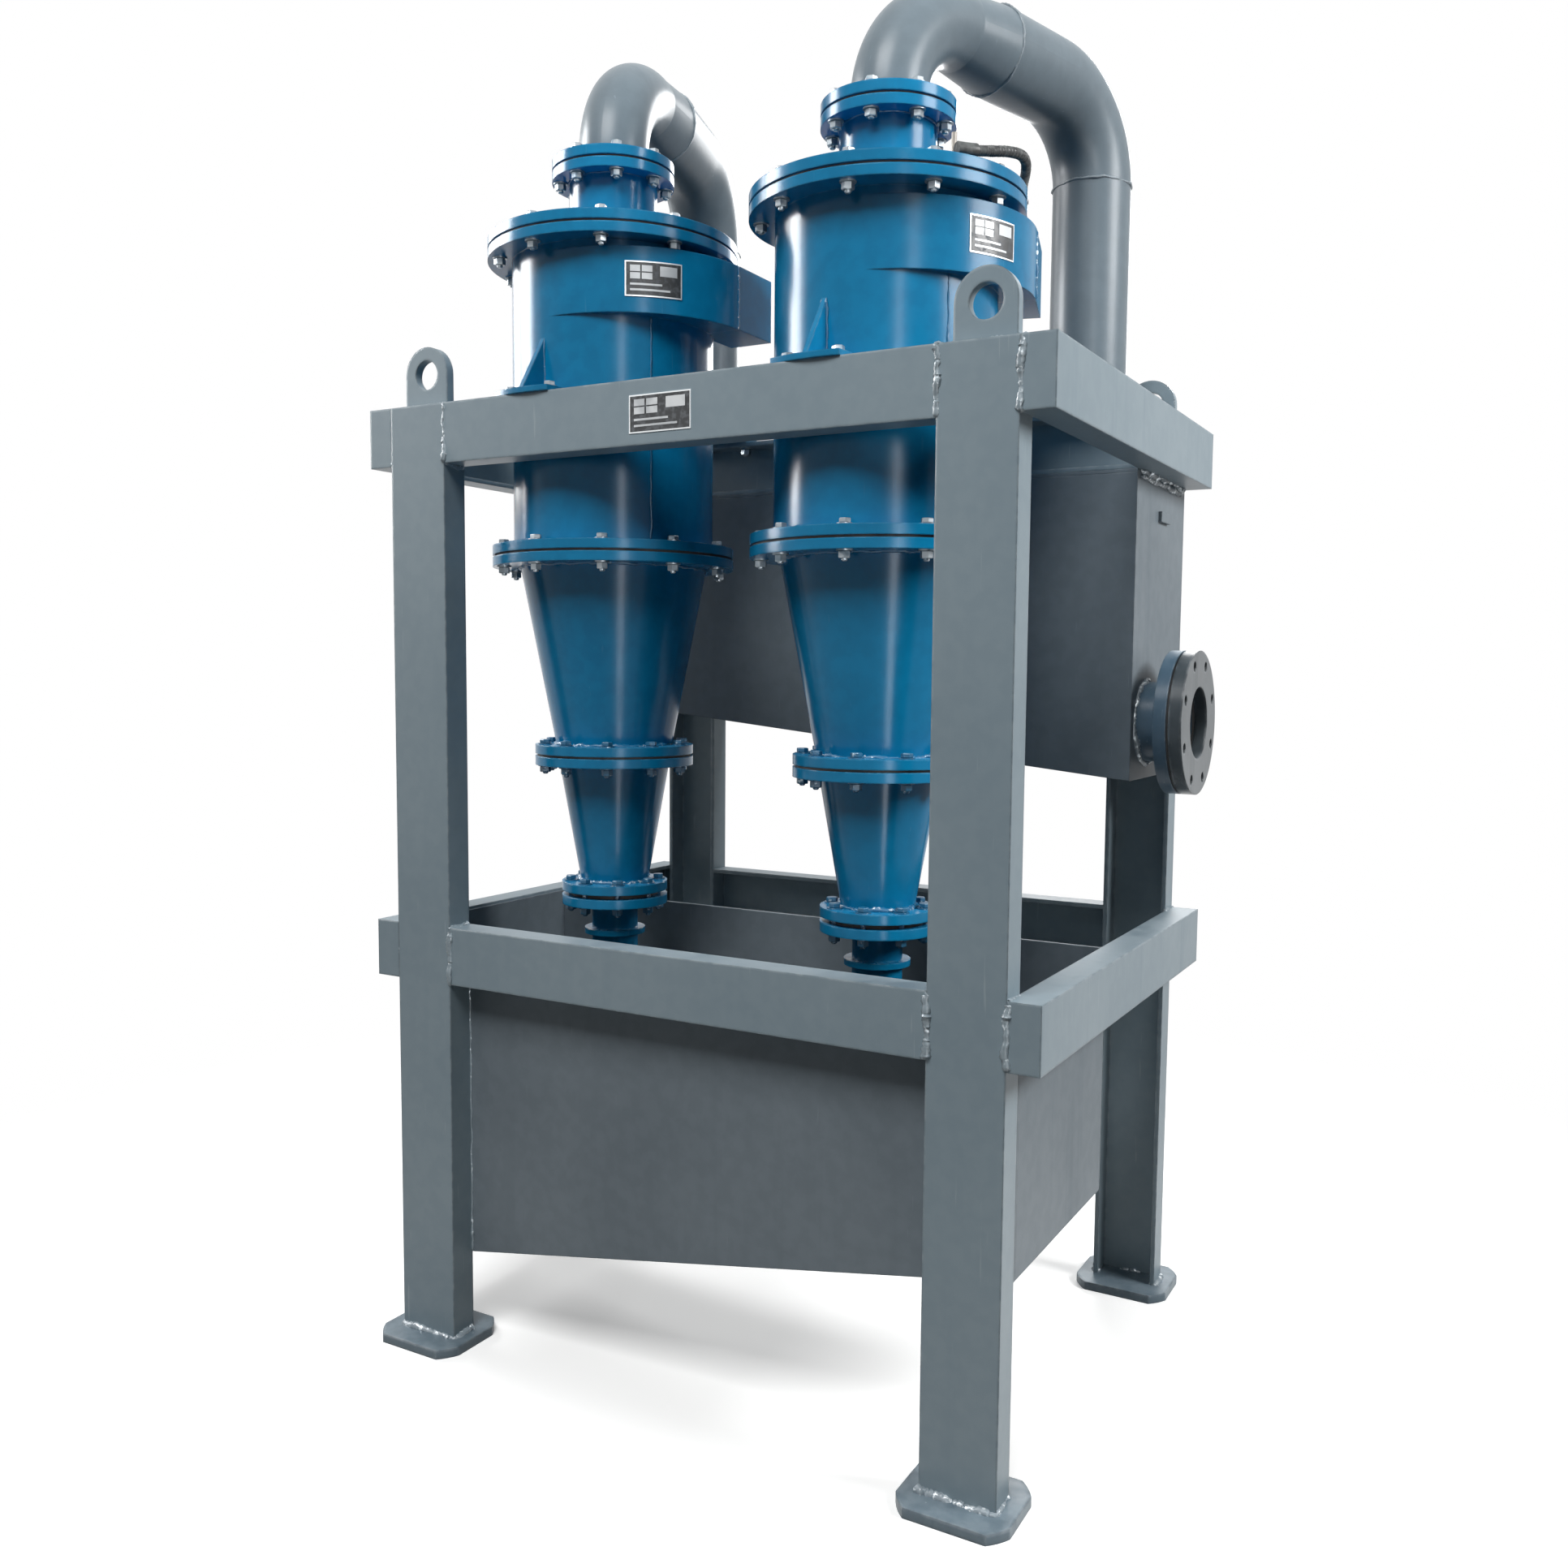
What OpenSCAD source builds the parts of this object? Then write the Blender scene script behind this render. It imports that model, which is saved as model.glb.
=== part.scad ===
// Twin hydrocyclone set on a welded channel-steel stand, in millimetres.
// X runs along the front, Y runs to the back, Z is up from the floor.
// The origin is on the floor, under the middle of the overall box.

/* [Stand] */
// width over the outer faces of the legs
stand_w = 1140; // [900:10:1500]
// depth over the outer faces of the legs
stand_d = 900; // [760:10:1200]
// face width of a leg channel
leg_w = 120; // [100:5:160]
// flange depth of the leg and beam channels
channel_d = 50; // [40:1:65]
// web thickness of the channels
web_t = 6; // [4:0.5:10]
// flange thickness of the channels
flange_t = 8; // [5:0.5:12]
// height of a ring beam
beam_h = 100; // [80:5:120]
// floor to the top of the upper ring
upper_ring_top = 1650; // [1450:10:1900]
// floor to the top of the lower ring
lower_ring_top = 755; // [600:5:900]
// thickness of the plate that closes a beam or leg end
end_cap_t = 6; // [4:1:12]

/* [Feet and lifting lugs] */
// thickness of a foot plate
foot_t = 16; // [10:1:25]
// radius of a foot plate's round ends
foot_r = 98; // [90:1:120]
// width of a foot plate between its flats
foot_w = 176; // [150:2:200]
// depth of a foot plate between its flats
foot_d = 150; // [110:2:180]
// thickness of a lifting lug
lug_t = 16; // [10:1:25]
// radius of a lifting lug's round head
lug_r = 47; // [40:1:60]
// radius of a lifting lug's hole
lug_hole_r = 25; // [15:0.5:32]
// height of the lug hole over the ring
lug_hole_h = 55; // [45:1:80]
// distance from the stand's face to a lug
lug_set = 24; // [6:1:34]

/* [Underflow tank] */
// depth of the tank, front to back
tank_d = 413; // [350:1:520]
// plate thickness of the tank
tank_t = 6; // [4:0.5:10]
// distance from the ring's top down to the tank's rim
tank_rim_drop = 5; // [0:1:20]
// floor to the tank's bottom edge at the right end
tank_low_right = 337; // [250:1:420]
// floor to the tank's bottom edge at the left end
tank_low_left = 137; // [80:1:300]

/* [Overflow box] */
// depth of the box, front to back
box_d = 324; // [270:2:400]
// plate thickness of the box
box_t = 6; // [4:0.5:10]
// floor to the box's bottom edge at the right end
box_low_right = 1020; // [950:5:1100]
// floor to the box's bottom edge at the left end
box_low_left = 1138; // [1000:1:1200]
// thickness of the pads between the back legs and the box
pad_t = 12; // [6:1:20]
// how far a pad stands out past its leg
pad_rim = 12; // [4:1:20]

/* [Outlet nozzle] */
// radius of the nozzle's bore
outlet_bore_r = 62.5; // [40:0.5:80]
// outer radius of the nozzle's pipe
outlet_pipe_r = 70; // [50:0.5:90]
// outer radius of the nozzle's flange
outlet_flange_r = 125; // [110:1:150]
// thickness of the nozzle's flange
outlet_flange_t = 22; // [14:1:30]
// radius of the circle of bolt holes
outlet_pcd_r = 105; // [90:1:115]
// radius of a bolt hole in the nozzle's flange
outlet_hole_r = 9; // [6:0.5:12]
// number of bolt holes in the nozzle's flange
outlet_holes = 8; // [4:4:12]
// length of pipe between the box and the flange
outlet_stub = 45; // [25:1:90]
// distance from the box's front to the nozzle's axis
outlet_set = 92; // [90:1:160]
// height of the nozzle's axis above the box's low end
outlet_rise = 100; // [80:5:200]

/* [Cyclones] */
// distance from the middle to each cyclone's axis
cyclone_x = 263; // [240:1:320]
// outer radius of the cyclone's head
head_r = 174; // [140:1:185]
// gap between the front beam and the cyclones' heads
head_gap = 3; // [1:0.5:20]
// wall of the cyclone, steel and lining together
wall = 12; // [6:1:20]
// radius of the lid and its flange
lid_r = 215; // [195:1:225]
// radius of the flanges under the head
head_flange_r = 211; // [190:1:225]
// radius of the flanges between the cones
mid_flange_r = 140; // [125:1:160]
// radius of the flanges at the apex
apex_flange_r = 94; // [80:1:110]
// thickness of a cyclone flange
cyc_flange_t = 16; // [12:1:24]
// thickness of a gasket
gasket_t = 4; // [2:0.5:8]
// how far a gasket's edge lies inside its flanges
gasket_in = 4; // [1:0.5:8]
// floor to the middle of the lid joint
lid_z = 1917; // [1880:1:1960]
// floor to the middle of the joint under the head
head_z = 1399; // [1330:1:1450]
// floor to the middle of the joint between the cones
mid_z = 1054; // [1000:1:1100]
// floor to the middle of the joint at the apex
apex_z = 807; // [795:1:840]
// outer radius of the upper cone at its top
cone_top_r = 166; // [140:1:168]
// outer radius of the cones where they meet
cone_mid_r = 100; // [85:1:118]
// outer radius of the lower cone at its foot
cone_low_r = 57; // [45:1:70]
// outer radius of the spigot pipe
spigot_r = 41; // [30:1:50]
// radius of the spigot's bore
spigot_bore_r = 30; // [15:1:36]
// floor to the spigot's mouth
spigot_z = 700; // [680:1:725]
// radius of the plate round the spigot's foot
collar_r = 54; // [48:1:70]

/* [Scroll inlet] */
// distance from the cyclone's axis to the inlet's outer wall
scroll_reach = 228; // [215:1:250]
// how far behind the axis the scroll ends and the duct starts
scroll_run = 45; // [20:1:80]
// floor to the scroll's underside
scroll_low = 1781; // [1760:1:1800]
// floor to the scroll's top
scroll_high = 1886; // [1860:1:1895]
// width of the inlet duct
duct_w = 82; // [60:1:100]
// length of an inlet duct past the scroll
duct_len = 110; // [80:5:200]
// wall of the inlet duct
duct_wall = 8; // [5:0.5:12]
// gap left for the weld between the duct and the head
weld_gap = 0.3; // [0.2:0.1:1]
// turn of the right cyclone's inlet, seen from above
right_turn = 15.5; // [0:0.5:25]

/* [Support brackets] */
// thickness of a support plate
bracket_t = 9; // [6:1:20]
// width of a support plate
bracket_w = 120; // [90:2:160]
// distance from the cyclone's axis to a front plate's rounded end
bracket_r = 233; // [228:1:260]
// turn of a front plate to the left about the cyclone's axis
bracket_turn = 5.5; // [0:0.5:12]
// height of the gusset on a support plate
gusset_h = 88; // [60:2:110]

/* [Overflow pipes] */
// outer radius of the elbow on the neck
elbow_r = 60; // [50:1:66]
// outer radius of the overflow pipe past the taper
pipe_r = 70; // [60:1:80]
// wall of the overflow pipe
pipe_wall = 6; // [4:0.5:10]
// bend radius of the elbow on the neck
bend_r = 160; // [120:5:175]
// bend radius of the elbow over the box
drop_bend_r = 150; // [110:5:180]
// length of level pipe from the neck's axis to the weld seam
pipe_seam = 250; // [200:5:300]
// distance from the stand's side to a drop pipe's axis
drop_inset = 152; // [120:1:190]
// distance from the box's front to the drop pipes' axes
drop_set = 189; // [160:1:210]
// radius of the neck flanges on the lids
neck_flange_r = 105; // [95:1:120]
// outer radius of the neck on the lid
neck_r = 76; // [72:1:85]
// height of the neck between the lid and its flange
neck_h = 103; // [60:1:130]

/* [Lid fittings] */
// radius of the short hose on the right lid
hose_r = 8; // [5:0.5:12]
// rise of the hose over the lid
hose_rise = 34; // [20:1:50]
// distance between the hose's ends
hose_span = 190; // [140:2:220]
// height of the rod beside the hose
rod_h = 48; // [30:1:80]
// radius of the rod beside the hose
rod_r = 4; // [3:0.5:8]

/* [Hidden] */
$fn = 72;
x_out = stand_w/2;
y_front = -stand_d/2;
y_back = stand_d/2;
leg_x = x_out - leg_w/2;
beam_len = stand_w - 2*leg_w;
tank_y = y_front + channel_d;
tank_top = lower_ring_top - tank_rim_drop;
box_y = y_back - box_d;
box_top = upper_ring_top - beam_h;
cyc_y = y_front + channel_d + head_gap + head_r;
face = cyc_flange_t + gasket_t/2;
lid_top = lid_z + face;
neck_z = lid_top + neck_h;
pipe_z = neck_z + 2*cyc_flange_t + gasket_t;
level_z = pipe_z + bend_r;
scroll_cx = (scroll_reach*scroll_reach - pow(scroll_run + head_r, 2))/(2*scroll_reach);
scroll_r = scroll_reach - scroll_cx;
drop_x = x_out - drop_inset;
drop_y = box_y + drop_set;
run_x = drop_x - cyclone_x;
run_y = drop_y - cyc_y;
run = sqrt(run_x*run_x + run_y*run_y);
run_turn = atan2(run_x, run_y);
outlet_x = x_out + outlet_stub;
outlet_y = box_y + outlet_set;
outlet_z = box_low_right + outlet_rise;
outlet_end = outlet_x + 2*outlet_flange_t + gasket_t;
x_shift = (outlet_end - x_out - channel_d)/2;

// moves the stand so that the overall box is centred on x = 0
module centred() translate([-x_shift, 0, 0]) children();

// channel section, web along the bottom edge and both flanges upwards
module channel(w, d) {
    difference() {
        translate([-w/2, 0]) square([w, d]);
        translate([-w/2 + flange_t, web_t]) square([w - 2*flange_t, d]);
    }
}

// upright channel with its web on y = 0 and its flanges towards +y
module upright(w, z0, z1, cap) {
    translate([0, 0, z0]) linear_extrude(z1 - z0) channel(w, channel_d);
    if (cap)
        translate([-w/2, 0, z1 - end_cap_t]) cube([w, channel_d, end_cap_t]);
}

// level channel of height beam_h along x, web on y = 0, flanges towards +y
module level_beam(len, top, cap) {
    translate([-len/2, 0, top - beam_h/2])
        rotate([90, 0, 90]) linear_extrude(len) rotate(-90) mirror([1, 0]) channel(beam_h, channel_d);
    if (cap)
        for (s = [-1, 1])
            translate([s*(len/2 - end_cap_t/2) - end_cap_t/2, 0, top - beam_h])
                cube([end_cap_t, channel_d, beam_h]);
}

// height of a sloping bottom edge at a given x
function slope_z(x, left, right) = left + (right - left)*(x + x_out)/stand_w;

// everything above a sloping floor line, as a solid to keep
module above_slope(left, right, top) {
    translate([0, y_back + 50, 0]) rotate([90, 0, 0]) linear_extrude(stand_d + 100)
        polygon([[-x_out, left], [x_out, right], [x_out, top], [-x_out, top]]);
}

module front_leg(s) {
    color("slategray") translate([s*leg_x, y_front, 0]) upright(leg_w, foot_t, upper_ring_top, true);
}

// a back leg is cut along the slope of the box floor, a pad below it
module back_leg(s) {
    color("slategray") intersection() {
        translate([s*leg_x, y_back, 0]) rotate(180) upright(leg_w, foot_t, box_low_left, false);
        translate([-x_out, y_front, 0]) cube([stand_w, stand_d, box_low_left]);
        translate([0, y_back + 50, 0]) rotate([90, 0, 0]) linear_extrude(stand_d + 100)
            polygon([[-x_out, 0], [x_out, 0], [x_out, box_low_right - pad_t], [-x_out, box_low_left - pad_t]]);
    }
}

module front_legs() for (s = [-1, 1]) front_leg(s);
module back_legs() for (s = [-1, 1]) back_leg(s);

// thick floor plates, round at the ends and cut flat on four sides
module foot_plates() {
    color("slategray") for (sx = [-1, 1], sy = [-1, 1])
        translate([sx*leg_x, sy*(stand_d/2 - channel_d/2), 0]) linear_extrude(foot_t) intersection() {
            circle(foot_r);
            square([foot_w, foot_d], center = true);
        }
}

module upper_front_beam()
    color("slategray") translate([0, y_front, 0]) level_beam(beam_len, upper_ring_top, false);
module upper_back_beam()
    color("slategray") translate([0, y_back, 0]) rotate(180) level_beam(stand_w, upper_ring_top, false);
// the cross beam stands on the box's front wall and is open to the front
module upper_cross_beam()
    color("slategray") translate([0, box_y + channel_d, 0]) rotate(180)
        level_beam(stand_w, upper_ring_top, false);
module lower_front_beam()
    color("slategray") translate([0, y_front, 0]) level_beam(beam_len, lower_ring_top, false);
module lower_back_beam()
    color("slategray") translate([0, y_back, 0]) rotate(180) level_beam(beam_len, lower_ring_top, false);

// side beams lie outside the legs, web outwards, both ends closed
module side_beam(s, top)
    color("slategray") translate([s*(x_out + channel_d), 0, 0]) rotate(s*90)
        level_beam(stand_d, top, true);
module upper_side_beams() for (s = [-1, 1]) side_beam(s, upper_ring_top);
module lower_side_beams() for (s = [-1, 1]) side_beam(s, lower_ring_top);

// plate lugs on the four corners of the upper ring
module lifting_lug()
    rotate([90, 0, 0]) linear_extrude(lug_t) difference() {
        union() {
            translate([0, lug_hole_h]) circle(lug_r);
            translate([-lug_r, 0]) square([2*lug_r, lug_hole_h]);
        }
        translate([0, lug_hole_h]) circle(lug_hole_r);
    }
module lifting_lugs()
    color("slategray") for (s = [-1, 1]) {
        translate([s*leg_x, y_front + lug_set + lug_t, upper_ring_top]) lifting_lug();
        translate([s*leg_x, y_back - lug_set, upper_ring_top]) lifting_lug();
    }

// underflow tank: four walls and a floor that falls to the left
module tank_end_wall(y)
    color("slategray") intersection() {
        translate([-x_out, y, 0]) cube([stand_w, tank_t, tank_top]);
        above_slope(tank_low_left, tank_low_right, tank_top);
    }
module tank_side_wall(s)
    color("slategray") intersection() {
        translate([s*(x_out - tank_t/2) - tank_t/2, tank_y + tank_t, 0])
            cube([tank_t, tank_d - 2*tank_t, tank_top]);
        above_slope(tank_low_left, tank_low_right, tank_top);
    }
module tank_front() tank_end_wall(tank_y);
module tank_back() tank_end_wall(tank_y + tank_d - tank_t);
module tank_ends() for (s = [-1, 1]) tank_side_wall(s);
module sloping_floor(y0, y1, left, right, t)
    color("slategray") intersection() {
        translate([-x_out + t, y0, 0]) cube([stand_w - 2*t, y1 - y0, upper_ring_top]);
        translate([0, y1, 0]) rotate([90, 0, 0]) linear_extrude(y1 - y0)
            polygon([[-x_out, left], [x_out, right], [x_out, right + t], [-x_out, left + t]]);
    }
module tank_floor()
    sloping_floor(tank_y + tank_t, tank_y + tank_d - tank_t, tank_low_left, tank_low_right, tank_t);

// overflow box: closed on all sides, its floor falls to the outlet on the right
module box_end_wall(y)
    color("slategray") intersection() {
        translate([-x_out, y, 0]) cube([stand_w, box_t, box_top - box_t]);
        above_slope(box_low_left, box_low_right, box_top - box_t);
    }
module box_side_wall(s)
    color("slategray") intersection() {
        translate([s*(x_out - box_t/2) - box_t/2, box_y + box_t, 0])
            cube([box_t, box_d - 2*box_t, box_top - box_t]);
        above_slope(box_low_left, box_low_right, box_top - box_t);
    }
module box_front() box_end_wall(box_y);
module box_back() box_end_wall(y_back - box_t);
module box_left() box_side_wall(-1);
module box_right()
    difference() {
        box_side_wall(1);
        translate([x_out - 2*box_t, outlet_y, outlet_z]) rotate([0, 90, 0]) cylinder(r = outlet_bore_r, h = 4*box_t);
    }
module box_top_plate()
    color("slategray") difference() {
        translate([-x_out, box_y, box_top - box_t]) cube([stand_w, box_d, box_t]);
        for (s = [-1, 1])
            translate([s*drop_x, drop_y, box_top - 2*box_t]) cylinder(r = pipe_r - pipe_wall, h = 3*box_t);
    }
module box_floor()
    sloping_floor(box_y + box_t, y_back - box_t, box_low_left, box_low_right, box_t);
// sloping pads between the cut leg tops and the box
module box_pads()
    color("slategray") intersection() {
        for (s = [-1, 1])
            translate([s*leg_x - leg_w/2 - pad_rim, y_back - channel_d - pad_rim, 0])
                cube([leg_w + 2*pad_rim, channel_d + pad_rim, box_low_left]);
        translate([0, y_back, 0]) rotate([90, 0, 0]) linear_extrude(channel_d + pad_rim)
            polygon([[-x_out, box_low_left - pad_t], [x_out, box_low_right - pad_t],
                [x_out, box_low_right], [-x_out, box_low_left]]);
    }

// short nozzle with a drilled flange on the box's right wall
module outlet_disc(t, r)
    difference() {
        cylinder(r = r, h = t);
        translate([0, 0, -1]) cylinder(r = outlet_bore_r, h = t + 2);
        for (i = [0 : outlet_holes - 1])
            rotate((i + 0.5)*360/outlet_holes) translate([outlet_pcd_r, 0, -1]) cylinder(r = outlet_hole_r, h = t + 2);
    }
module outlet_nozzle()
    color("slategray") translate([0, outlet_y, outlet_z]) rotate([0, 90, 0]) {
        translate([0, 0, x_out]) difference() {
            cylinder(r = outlet_pipe_r, h = outlet_stub);
            translate([0, 0, -1]) cylinder(r = outlet_bore_r, h = outlet_stub + 2);
        }
        translate([0, 0, outlet_x]) outlet_disc(outlet_flange_t, outlet_flange_r);
    }
module outlet_ring()
    color("slategray") translate([outlet_x + outlet_flange_t + gasket_t, outlet_y, outlet_z]) rotate([0, 90, 0])
        outlet_disc(outlet_flange_t, outlet_flange_r);

// places one cyclone, s = -1 left and 1 right
module at_cyclone(s) translate([s*cyclone_x, cyc_y, 0]) children();
function inlet_turn(s) = s > 0 ? right_turn : 0;

// flat ring
module ring(r, bore, z, t)
    translate([0, 0, z]) difference() {
        cylinder(r = r, h = t);
        translate([0, 0, -1]) cylinder(r = bore, h = t + 2);
    }

// cover plate with its neck pipe and neck flange
module lid(s)
    color("steelblue") at_cyclone(s) difference() {
        union() {
            translate([0, 0, lid_z + gasket_t/2]) cylinder(r = lid_r, h = cyc_flange_t);
            translate([0, 0, lid_top]) cylinder(r = neck_r, h = neck_h);
            translate([0, 0, neck_z]) cylinder(r = neck_flange_r, h = cyc_flange_t);
        }
        translate([0, 0, lid_z - 1]) cylinder(r = elbow_r - pipe_wall, h = neck_z + cyc_flange_t + 2 - lid_z);
    }

// plan of the scroll: a round swelling that leaves the head at the front
// and meets the duct's straight outer wall behind the axis
module scroll_plan(d) {
    intersection() {
        translate([scroll_cx, scroll_run]) circle(scroll_r - d);
        translate([0, -scroll_reach - head_r]) square([2*scroll_reach, scroll_reach + head_r + scroll_run]);
    }
}

// plate and gusset that carry the head on a beam
module bracket(reach, round) {
    translate([0, 0, upper_ring_top]) linear_extrude(bracket_t) intersection() {
        translate([-bracket_w/2, -reach]) square([bracket_w, reach - head_r + wall/2]);
        if (round) circle(reach);
        else square(4*reach, center = true);
    }
    translate([bracket_t/2, 0, upper_ring_top + bracket_t]) rotate([90, 0, -90]) linear_extrude(bracket_t)
        polygon([[head_r - wall/2, 0], [bracket_r - 8, 0], [head_r, gusset_h], [head_r - wall/2, gusset_h]]);
}

// head: flanged cylinder, scroll at its top and the brackets it stands on
module head(s)
    color("steelblue") at_cyclone(s) {
        difference() {
            union() {
                translate([0, 0, head_z + gasket_t/2])
                    cylinder(r = head_r, h = lid_z - head_z - gasket_t);
                translate([0, 0, head_z + gasket_t/2]) cylinder(r = head_flange_r, h = cyc_flange_t);
                translate([0, 0, lid_z - face]) cylinder(r = lid_r, h = cyc_flange_t);
                rotate(inlet_turn(s)) translate([0, 0, scroll_low])
                    linear_extrude(scroll_high - scroll_low) scroll_plan(0);
            }
            translate([0, 0, head_z]) cylinder(r = head_r - wall, h = lid_z - head_z);
            rotate(inlet_turn(s)) translate([0, 0, scroll_low + wall])
                linear_extrude(scroll_high - scroll_low - 2*wall) scroll_plan(wall);
        }
        rotate(-bracket_turn) bracket(bracket_r, true);
        rotate(180) bracket(box_y - cyc_y + channel_d - 10, false);
    }

// rectangular inlet duct, straight on from the scroll to a square cut end
module inlet(s)
    color("steelblue") at_cyclone(s) rotate(inlet_turn(s))
        difference() {
            translate([scroll_reach - duct_w, scroll_run, scroll_low])
                cube([duct_w, duct_len, scroll_high - scroll_low]);
            translate([scroll_reach - duct_w + duct_wall, scroll_run - 1, scroll_low + wall])
                cube([duct_w - 2*duct_wall, duct_len + 2, scroll_high - scroll_low - 2*wall]);
            translate([0, 0, scroll_low - 1])
                cylinder(r = head_r + weld_gap, h = scroll_high - scroll_low + 2);
        }

// cone with a flange at each end
module cone(s, z0, z1, r0, r1, f0, f1)
    color("steelblue") at_cyclone(s) difference() {
        union() {
            translate([0, 0, z0]) cylinder(r1 = r0, r2 = r1, h = z1 - z0);
            translate([0, 0, z0]) cylinder(r = f0, h = cyc_flange_t);
            translate([0, 0, z1 - cyc_flange_t]) cylinder(r = f1, h = cyc_flange_t);
        }
        translate([0, 0, z0]) cylinder(r1 = r0 - wall, r2 = r1 - wall, h = z1 - z0);
    }
module upper_cone(s)
    cone(s, mid_z + gasket_t/2, head_z - gasket_t/2, cone_mid_r, cone_top_r, mid_flange_r, head_flange_r);
module lower_cone(s)
    cone(s, apex_z + gasket_t, mid_z - gasket_t/2, cone_low_r, cone_mid_r, apex_flange_r, mid_flange_r);

// flanged spigot that drops into the tank
module spigot(s)
    color("steelblue") at_cyclone(s) difference() {
        union() {
            translate([0, 0, apex_z - gasket_t - cyc_flange_t]) cylinder(r = apex_flange_r, h = cyc_flange_t);
            translate([0, 0, spigot_z]) cylinder(r = spigot_r, h = apex_z - gasket_t - spigot_z);
            translate([0, 0, spigot_z + 32]) cylinder(r = collar_r, h = 10);
        }
        translate([0, 0, spigot_z - 1]) cylinder(r = spigot_bore_r, h = apex_z - spigot_z);
    }

// quarter bend from straight up at the axis to level along +y
module elbow(b, r)
    translate([0, b, 0]) rotate([90, 0, -90]) rotate_extrude(angle = 90)
        translate([b, 0]) difference() {
            circle(r);
            circle(r - pipe_wall);
        }
module on_run(s) at_cyclone(s) rotate(-s*run_turn) children();
// flanged elbow on the neck with the taper that ends at the weld seam
module neck_elbow(s)
    on_run(s) {
        color("steelblue") ring(neck_flange_r, elbow_r - pipe_wall, pipe_z - cyc_flange_t, cyc_flange_t);
        color("gray") translate([0, 0, pipe_z]) elbow(bend_r, elbow_r);
        color("gray") translate([0, bend_r, level_z]) rotate([-90, 0, 0]) difference() {
            cylinder(r1 = elbow_r, r2 = pipe_r, h = pipe_seam - bend_r);
            cylinder(r1 = elbow_r - pipe_wall, r2 = pipe_r - pipe_wall, h = pipe_seam - bend_r);
        }
    }
// level pipe from the seam and the bend down into the drop pipe
module drop_elbow(s)
    on_run(s) color("gray") {
        translate([0, pipe_seam, level_z]) rotate([-90, 0, 0])
            ring(pipe_r, pipe_r - pipe_wall, 0, run - drop_bend_r - pipe_seam);
        translate([0, run, level_z - drop_bend_r]) rotate(180) elbow(drop_bend_r, pipe_r);
    }
module drop_pipe(s)
    color("gray") translate([s*drop_x, drop_y, 0]) ring(pipe_r, pipe_r - pipe_wall, box_top, level_z - drop_bend_r - box_top);

module left_lid() lid(-1);
module left_head() head(-1);
module left_inlet() inlet(-1);
module left_upper_cone() upper_cone(-1);
module left_lower_cone() lower_cone(-1);
module left_spigot() spigot(-1);
module left_neck_elbow() neck_elbow(-1);
module left_drop_elbow() drop_elbow(-1);
module left_drop_pipe() drop_pipe(-1);
module right_lid() lid(1);
module right_head() head(1);
module right_inlet() inlet(1);
module right_upper_cone() upper_cone(1);
module right_lower_cone() lower_cone(1);
module right_spigot() spigot(1);
module right_neck_elbow() neck_elbow(1);
module right_drop_elbow() drop_elbow(1);
module right_drop_pipe() drop_pipe(1);

// black rubber rings in every bolted joint
module flange_gaskets()
    color("black") {
        for (s = [-1, 1]) at_cyclone(s) {
            ring(neck_flange_r - gasket_in, elbow_r - pipe_wall, neck_z + cyc_flange_t, gasket_t);
            ring(lid_r - gasket_in, head_r - wall, lid_z - gasket_t/2, gasket_t);
            ring(head_flange_r - gasket_in, cone_top_r - wall, head_z - gasket_t/2, gasket_t);
            ring(mid_flange_r - gasket_in, cone_mid_r - wall, mid_z - gasket_t/2, gasket_t);
            ring(apex_flange_r - 4*gasket_in, cone_low_r - wall, apex_z - gasket_t, 2*gasket_t);
        }
        translate([outlet_x + outlet_flange_t, outlet_y, outlet_z]) rotate([0, 90, 0])
            ring(outlet_flange_r - gasket_in, outlet_bore_r, 0, gasket_t);
    }

// short ribbed hose that arches over the right lid's rim, and a rod beside it
hose_arc = (hose_span*hose_span/4 + hose_rise*hose_rise)/(2*hose_rise);
hose_half = asin(hose_span/2/hose_arc);
module lid_hose()
    color("dimgray") at_cyclone(1) rotate(-2.5) translate([lid_r - 27, 0, lid_top]) {
        translate([0, 0, hose_r + hose_rise - hose_arc]) rotate([0, -90, 0]) rotate(-hose_half)
            rotate_extrude(angle = 2*hose_half) translate([hose_arc, 0]) circle(hose_r, $fn = 24);
        for (s = [-1, 1])
            translate([0, s*hose_span/2, 0]) cylinder(r = hose_r + 2, h = 2*hose_r + 1, $fn = 24);
    }
module lid_rod()
    color("silver") at_cyclone(1) rotate(-29) translate([lid_r - 50, 0, lid_top]) cylinder(r = rod_r, h = rod_h, $fn = 24);

centred() front_legs();
centred() back_legs();
centred() foot_plates();
centred() upper_front_beam();
centred() upper_cross_beam();
centred() upper_back_beam();
centred() upper_side_beams();
centred() lower_front_beam();
centred() lower_back_beam();
centred() lower_side_beams();
centred() lifting_lugs();
centred() tank_front();
centred() tank_back();
centred() tank_ends();
centred() tank_floor();
centred() box_front();
centred() box_back();
centred() box_left();
centred() box_right();
centred() box_top_plate();
centred() box_floor();
centred() box_pads();
centred() outlet_nozzle();
centred() outlet_ring();
centred() left_lid();
centred() left_head();
centred() left_inlet();
centred() left_upper_cone();
centred() left_lower_cone();
centred() left_spigot();
centred() left_neck_elbow();
centred() left_drop_elbow();
centred() left_drop_pipe();
centred() right_lid();
centred() right_head();
centred() right_inlet();
centred() right_upper_cone();
centred() right_lower_cone();
centred() right_spigot();
centred() right_neck_elbow();
centred() right_drop_elbow();
centred() right_drop_pipe();
centred() flange_gaskets();
centred() lid_hose();
centred() lid_rod();
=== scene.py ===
import math

import bpy
import numpy as np
from mathutils import Matrix, Vector


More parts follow.
